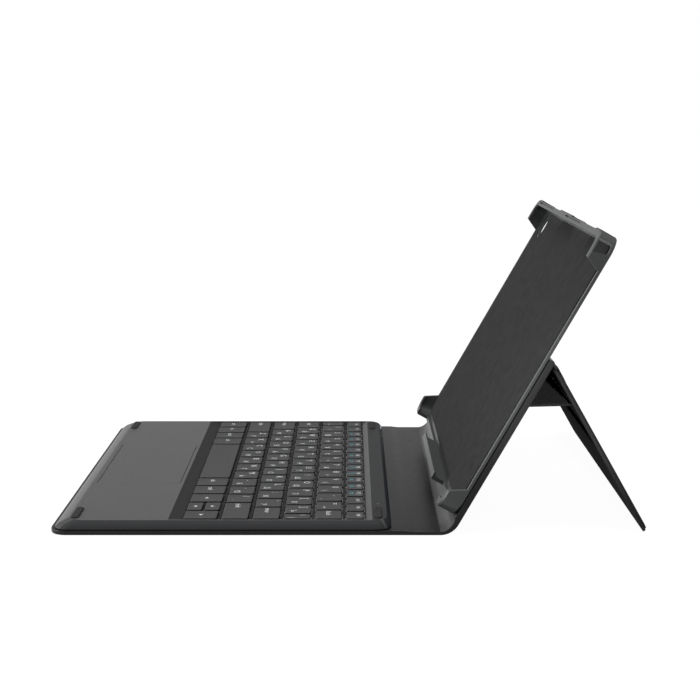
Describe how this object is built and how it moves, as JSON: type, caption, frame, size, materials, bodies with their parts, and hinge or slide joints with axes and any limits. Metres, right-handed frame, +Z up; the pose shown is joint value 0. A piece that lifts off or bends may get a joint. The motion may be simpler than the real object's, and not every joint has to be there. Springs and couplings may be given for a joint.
{
  "type": "tablet keyboard case",
  "caption": "Folding tablet case with a magnetic keyboard and touchpad, a clip-in tablet tray on a hinged spine, and a stand that swings out of the back on a folding link",
  "frame": {"origin": "centre of the bounding box in plan, on the table under the open case", "axes": "+X to the right of the person typing, +Y away from them, +Z up"},
  "size_m": [0.248, 0.3176, 0.1608],
  "materials": {
    "leather": "dark grey synthetic leather, fine grain",
    "lining": "dark microfibre",
    "board": "stiffening board",
    "steel": "plated steel",
    "case": "fine matt moulding",
    "key": "matt keycap plastic",
    "tray": "satin polycarbonate",
    "rubber": "matt silicone",
    "circuit": "green circuit board",
    "film": "printed polyester film",
    "foil": "laminated foil pouch",
    "lens": "clear light pipe"
  },
  "bodies": {
    "front_cover": {"front_cover_skin": "leather", "front_cover_board": "board", "front_cover_lining": "lining", "cover_magnet_bar": "steel"},
    "spine": {"spine_skin": "leather", "spine_lining": "lining", "fold_strip_front": "leather", "fold_strip_rear": "leather"},
    "rear_panel": {"rear_leather": "leather", "rear_fold_lining": "lining", "rear_board": "board", "rear_magnet_plate": "steel", "stand_hinge_strip": "leather", "tray_shell": "tray", "tray_liner": "lining"},
    "stand": {"stand_skin": "leather", "stand_board": "lining", "link_hinge_strip": "leather"},
    "link": {"link_flap": "leather", "link_steel_bar": "steel"},
    "keyboard": {"keyboard_top_case": "case", "keyboard_bottom_cover": "case", "dock_plate": "steel", "switch_membrane": "film", "circuit_board": "circuit", "battery": "foil", "charging_port": "steel", "status_light": "lens", "touchpad_frame": "steel", "bumper_front_left": "rubber", "bumper_front_right": "rubber", "bumper_rear_left": "rubber", "bumper_rear_right": "rubber"},
    "touchpad": {"touchpad": "case"},
    "power_switch": {"power_switch": "key"},
    "key_control": {"key_control": "key"},
    "key_function": {"key_function": "key"},
    "key_command": {"key_command": "key"},
    "key_alt": {"key_alt": "key"},
    "key_space": {"key_space": "key"},
    "key_alt_right": {"key_alt_right": "key"},
    "key_menu": {"key_menu": "key"},
    "key_arrow_left": {"key_arrow_left": "key"},
    "key_arrow_down": {"key_arrow_down": "key"},
    "key_arrow_up": {"key_arrow_up": "key"},
    "key_arrow_right": {"key_arrow_right": "key"},
    "key_shift_left": {"key_shift_left": "key"},
    "key_shift_right": {"key_shift_right": "key"},
    "key_caps": {"key_caps": "key"},
    "key_enter": {"key_enter": "key"},
    "key_tab": {"key_tab": "key"},
    "key_backslash": {"key_backslash": "key"},
    "key_backquote": {"key_backquote": "key"},
    "key_backspace": {"key_backspace": "key"},
    "keys_lower_row": {"keys_lower_row": "key"},
    "keys_home_row": {"keys_home_row": "key"},
    "keys_upper_row": {"keys_upper_row": "key"},
    "keys_number_row": {"keys_number_row": "key"},
    "keys_function_row": {"keys_function_row": "key"}
  },
  "joints": [
    {"name": "spine_fold", "type": "hinge", "parent": "front_cover", "child": "spine", "pos_m": [0, 0.031, 0.0012], "axis": [1, 0, 0], "range_deg": [0, 90]},
    {"name": "rear_fold", "type": "hinge", "parent": "spine", "child": "rear_panel", "pos_m": [0, 0.0524, 0.0012], "axis": [1, 0, 0], "range_deg": [-60.6, 29.4]},
    {"name": "stand_fold", "type": "hinge", "parent": "rear_panel", "child": "stand", "pos_m": [0, 0.10657, 0.08879], "axis": [1, 0, 0], "range_deg": [-59.15, 0]},
    {"name": "link_fold", "type": "hinge", "parent": "stand", "child": "link", "pos_m": [0, 0.11888, 0.06725], "axis": [1, 0, 0], "range_deg": [0, 118.3]},
    {"name": "keyboard_lift", "type": "slide", "parent": "front_cover", "child": "keyboard", "axis": [0, 0, -1], "range_m": [-0.03, 0]},
    {"name": "touchpad_click", "type": "slide", "parent": "keyboard", "child": "touchpad", "axis": [0, 0, 1], "range_m": [-0.0003, 0], "stiffness_N_per_m": 3000, "springref_m": 0.0005},
    {"name": "power_slide", "type": "slide", "parent": "keyboard", "child": "power_switch", "axis": [1, 0, 0], "range_m": [-0.003, 0]},
    {"name": "key_control_press", "type": "slide", "parent": "keyboard", "child": "key_control", "axis": [0, 0, 1], "range_m": [-0.001, 0], "stiffness_N_per_m": 300, "springref_m": 0.001},
    {"name": "key_function_press", "type": "slide", "parent": "keyboard", "child": "key_function", "axis": [0, 0, 1], "range_m": [-0.001, 0], "stiffness_N_per_m": 300, "springref_m": 0.001},
    {"name": "key_command_press", "type": "slide", "parent": "keyboard", "child": "key_command", "axis": [0, 0, 1], "range_m": [-0.001, 0], "stiffness_N_per_m": 300, "springref_m": 0.001},
    {"name": "key_alt_press", "type": "slide", "parent": "keyboard", "child": "key_alt", "axis": [0, 0, 1], "range_m": [-0.001, 0], "stiffness_N_per_m": 300, "springref_m": 0.001},
    {"name": "key_space_press", "type": "slide", "parent": "keyboard", "child": "key_space", "axis": [0, 0, 1], "range_m": [-0.001, 0], "stiffness_N_per_m": 600, "springref_m": 0.001},
    {"name": "key_alt_right_press", "type": "slide", "parent": "keyboard", "child": "key_alt_right", "axis": [0, 0, 1], "range_m": [-0.001, 0], "stiffness_N_per_m": 300, "springref_m": 0.001},
    {"name": "key_menu_press", "type": "slide", "parent": "keyboard", "child": "key_menu", "axis": [0, 0, 1], "range_m": [-0.001, 0], "stiffness_N_per_m": 300, "springref_m": 0.001},
    {"name": "key_arrow_left_press", "type": "slide", "parent": "keyboard", "child": "key_arrow_left", "axis": [0, 0, 1], "range_m": [-0.001, 0], "stiffness_N_per_m": 300, "springref_m": 0.001},
    {"name": "key_arrow_down_press", "type": "slide", "parent": "keyboard", "child": "key_arrow_down", "axis": [0, 0, 1], "range_m": [-0.001, 0], "stiffness_N_per_m": 300, "springref_m": 0.001},
    {"name": "key_arrow_up_press", "type": "slide", "parent": "keyboard", "child": "key_arrow_up", "axis": [0, 0, 1], "range_m": [-0.001, 0], "stiffness_N_per_m": 300, "springref_m": 0.001},
    {"name": "key_arrow_right_press", "type": "slide", "parent": "keyboard", "child": "key_arrow_right", "axis": [0, 0, 1], "range_m": [-0.001, 0], "stiffness_N_per_m": 300, "springref_m": 0.001},
    {"name": "key_shift_left_press", "type": "slide", "parent": "keyboard", "child": "key_shift_left", "axis": [0, 0, 1], "range_m": [-0.001, 0], "stiffness_N_per_m": 300, "springref_m": 0.001},
    {"name": "key_shift_right_press", "type": "slide", "parent": "keyboard", "child": "key_shift_right", "axis": [0, 0, 1], "range_m": [-0.001, 0], "stiffness_N_per_m": 300, "springref_m": 0.001},
    {"name": "key_caps_press", "type": "slide", "parent": "keyboard", "child": "key_caps", "axis": [0, 0, 1], "range_m": [-0.001, 0], "stiffness_N_per_m": 300, "springref_m": 0.001},
    {"name": "key_enter_press", "type": "slide", "parent": "keyboard", "child": "key_enter", "axis": [0, 0, 1], "range_m": [-0.001, 0], "stiffness_N_per_m": 300, "springref_m": 0.001},
    {"name": "key_tab_press", "type": "slide", "parent": "keyboard", "child": "key_tab", "axis": [0, 0, 1], "range_m": [-0.001, 0], "stiffness_N_per_m": 300, "springref_m": 0.001},
    {"name": "key_backslash_press", "type": "slide", "parent": "keyboard", "child": "key_backslash", "axis": [0, 0, 1], "range_m": [-0.001, 0], "stiffness_N_per_m": 300, "springref_m": 0.001},
    {"name": "key_backquote_press", "type": "slide", "parent": "keyboard", "child": "key_backquote", "axis": [0, 0, 1], "range_m": [-0.001, 0], "stiffness_N_per_m": 300, "springref_m": 0.001},
    {"name": "key_backspace_press", "type": "slide", "parent": "keyboard", "child": "key_backspace", "axis": [0, 0, 1], "range_m": [-0.001, 0], "stiffness_N_per_m": 300, "springref_m": 0.001},
    {"name": "keys_lower_row_press", "type": "slide", "parent": "keyboard", "child": "keys_lower_row", "axis": [0, 0, 1], "range_m": [-0.001, 0], "stiffness_N_per_m": 600, "springref_m": 0.001},
    {"name": "keys_home_row_press", "type": "slide", "parent": "keyboard", "child": "keys_home_row", "axis": [0, 0, 1], "range_m": [-0.001, 0], "stiffness_N_per_m": 600, "springref_m": 0.001},
    {"name": "keys_upper_row_press", "type": "slide", "parent": "keyboard", "child": "keys_upper_row", "axis": [0, 0, 1], "range_m": [-0.001, 0], "stiffness_N_per_m": 600, "springref_m": 0.001},
    {"name": "keys_number_row_press", "type": "slide", "parent": "keyboard", "child": "keys_number_row", "axis": [0, 0, 1], "range_m": [-0.001, 0], "stiffness_N_per_m": 600, "springref_m": 0.001},
    {"name": "keys_function_row_press", "type": "slide", "parent": "keyboard", "child": "keys_function_row", "axis": [0, 0, 1], "range_m": [-0.001, 0], "stiffness_N_per_m": 600, "springref_m": 0.001}
  ],
  "couplings": [
    {"joint": "link_fold", "follows": "stand_fold", "ratio": -2}
  ]
}
